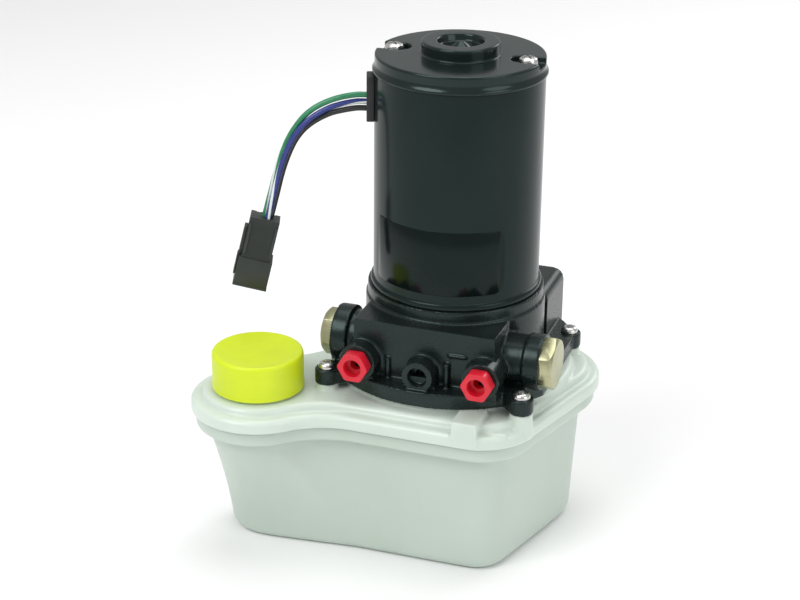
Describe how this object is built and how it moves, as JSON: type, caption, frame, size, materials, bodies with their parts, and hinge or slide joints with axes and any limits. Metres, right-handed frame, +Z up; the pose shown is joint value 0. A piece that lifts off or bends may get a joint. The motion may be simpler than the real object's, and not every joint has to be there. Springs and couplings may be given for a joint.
{
  "type": "hydraulic power unit",
  "caption": "Reversible electric hydraulic power unit: a DC motor on a cast valve body with a gear pump, an oil reservoir, a screw cap and a wired connector.",
  "frame": {"origin": "motor and pump axis, on the underside of the oil reservoir", "axes": "+Z up along the motor axis; -Y is the hose port side, +Y the mounting pad side; +X to the right as seen from the ports"},
  "size_m": [0.1733, 0.1373, 0.2317],
  "materials": {
    "milky_plastic": "satin",
    "yellow_plastic": "satin",
    "black_rubber": "matte",
    "black_casting": "satin",
    "black_steel": "satin",
    "zinc_steel": "satin",
    "spring_steel": "polished",
    "ground_steel": "polished",
    "brass": "satin",
    "red_plastic": "satin",
    "cast_aluminium": "satin",
    "mesh_plastic": "matte",
    "magnet_ferrite": "matte",
    "core_steel": "satin",
    "copper": "satin",
    "brown_laminate": "matte",
    "carbon": "matte",
    "nameplate_film": "satin",
    "wire_green": "satin",
    "wire_blue": "satin",
    "wire_black": "satin",
    "connector_nylon": "satin"
  },
  "bodies": {
    "power_unit": {"reservoir_tub": "milky_plastic", "reservoir_lid": "milky_plastic", "lid_seal": "black_rubber", "mounting_screws": "zinc_steel", "pump_body": "black_casting", "left_end_plug": "brass", "right_end_plug": "brass", "end_plug_orings": "black_rubber", "check_seats": "ground_steel", "left_check_spring": "spring_steel", "right_check_spring": "spring_steel", "gear_housing": "cast_aluminium", "pump_cover": "cast_aluminium", "idler_pin": "ground_steel", "shaft_seal": "black_rubber", "pump_screws": "zinc_steel", "relief_spring": "spring_steel", "relief_adjuster": "brass", "suction_tube": "zinc_steel", "suction_strainer": "mesh_plastic", "motor_can": "black_steel", "motor_end_cap": "black_casting", "drive_end_plate": "zinc_steel", "motor_seal": "black_rubber", "field_magnets": "magnet_ferrite", "upper_bearing": "brass", "lower_bearing": "ground_steel", "brush_plate": "brown_laminate", "brush_holders": "brass", "front_brush_spring": "spring_steel", "rear_brush_spring": "spring_steel", "through_bolts": "zinc_steel", "cable_grommet": "black_rubber", "nameplate": "nameplate_film", "green_wire": "wire_green", "blue_wire": "wire_blue", "black_wire": "wire_black", "connector_housing": "connector_nylon", "connector_latch": "connector_nylon", "terminals": "brass"},
    "gasket_body": {"cap_gasket": "black_rubber"},
    "cap_body": {"filler_cap": "yellow_plastic"},
    "left_port_plug_body": {"left_port_plug": "red_plastic"},
    "right_port_plug_body": {"right_port_plug": "red_plastic"},
    "release_carrier": {"release_oring": "black_rubber"},
    "release_body": {"release_screw": "ground_steel"},
    "left_poppet_body": {"left_check_poppet": "brass"},
    "right_poppet_body": {"right_check_poppet": "brass"},
    "spool_body": {"pilot_spool": "ground_steel"},
    "rotor": {"armature_core": "core_steel", "armature_windings": "copper", "commutator": "copper", "armature_shaft": "ground_steel", "drive_coupling": "ground_steel", "drive_shaft": "ground_steel", "drive_gear": "ground_steel"},
    "idler_body": {"idler_gear": "ground_steel"},
    "relief_ball_body": {"relief_ball": "ground_steel"},
    "front_brush_body": {"front_brush": "carbon"},
    "rear_brush_body": {"rear_brush": "carbon"}
  },
  "joints": [
    {"name": "cap_lift", "type": "slide", "parent": "power_unit", "child": "gasket_body", "axis": [0, 0, 1], "range_m": [0, 0.009]},
    {"name": "cap_turn", "type": "hinge", "parent": "gasket_body", "child": "cap_body", "pos_m": [-0.076, -0.0565, 0.09], "axis": [0, 0, 1], "range_deg": [0, 720]},
    {"name": "left_port_plug_pull", "type": "slide", "parent": "power_unit", "child": "left_port_plug_body", "axis": [0, -1, 0], "range_m": [0, 0.014]},
    {"name": "right_port_plug_pull", "type": "slide", "parent": "power_unit", "child": "right_port_plug_body", "axis": [0, -1, 0], "range_m": [0, 0.014]},
    {"name": "release_travel", "type": "slide", "parent": "power_unit", "child": "release_carrier", "axis": [0, -1, 0], "range_m": [0, 0.002]},
    {"name": "release_turn", "type": "hinge", "parent": "release_carrier", "child": "release_body", "pos_m": [0, -0.046, 0.092], "axis": [0, -1, 0], "range_deg": [0, 720]},
    {"name": "left_check_lift", "type": "slide", "parent": "power_unit", "child": "left_poppet_body", "axis": [-1, 0, 0], "range_m": [0, 0.003], "stiffness_N_per_m": 800, "springref_m": -0.002, "deforming": ["left_check_spring"]},
    {"name": "right_check_lift", "type": "slide", "parent": "power_unit", "child": "right_poppet_body", "axis": [1, 0, 0], "range_m": [0, 0.003], "stiffness_N_per_m": 800, "springref_m": -0.002, "deforming": ["right_check_spring"]},
    {"name": "spool_shift", "type": "slide", "parent": "power_unit", "child": "spool_body", "axis": [1, 0, 0], "range_m": [-0.003, 0.003]},
    {"name": "motor_shaft", "type": "hinge", "parent": "power_unit", "child": "rotor", "pos_m": [0, 0, 0.168], "axis": [0, 0, 1], "continuous": true},
    {"name": "idler_turn", "type": "hinge", "parent": "power_unit", "child": "idler_body", "pos_m": [0, 0.018, 0.066], "axis": [0, 0, 1], "continuous": true},
    {"name": "relief_open", "type": "slide", "parent": "power_unit", "child": "relief_ball_body", "axis": [0, 0, -1], "range_m": [0, 0.0012], "stiffness_N_per_m": 900, "springref_m": -0.001, "deforming": ["relief_spring"]},
    {"name": "front_brush_feed", "type": "slide", "parent": "power_unit", "child": "front_brush_body", "axis": [0, -1, 0], "range_m": [0, 0.004], "stiffness_N_per_m": 200, "springref_m": -0.004, "deforming": ["front_brush_spring"]},
    {"name": "rear_brush_feed", "type": "slide", "parent": "power_unit", "child": "rear_brush_body", "axis": [0, 1, 0], "range_m": [0, 0.004], "stiffness_N_per_m": 200, "springref_m": -0.004, "deforming": ["rear_brush_spring"]}
  ],
  "couplings": [
    {"joint": "cap_lift", "follows": "cap_turn", "m_per_rad": 0.0007162},
    {"joint": "release_turn", "follows": "release_travel", "rad_per_m": 6283.2},
    {"joint": "idler_turn", "follows": "motor_shaft", "ratio": -1}
  ]
}
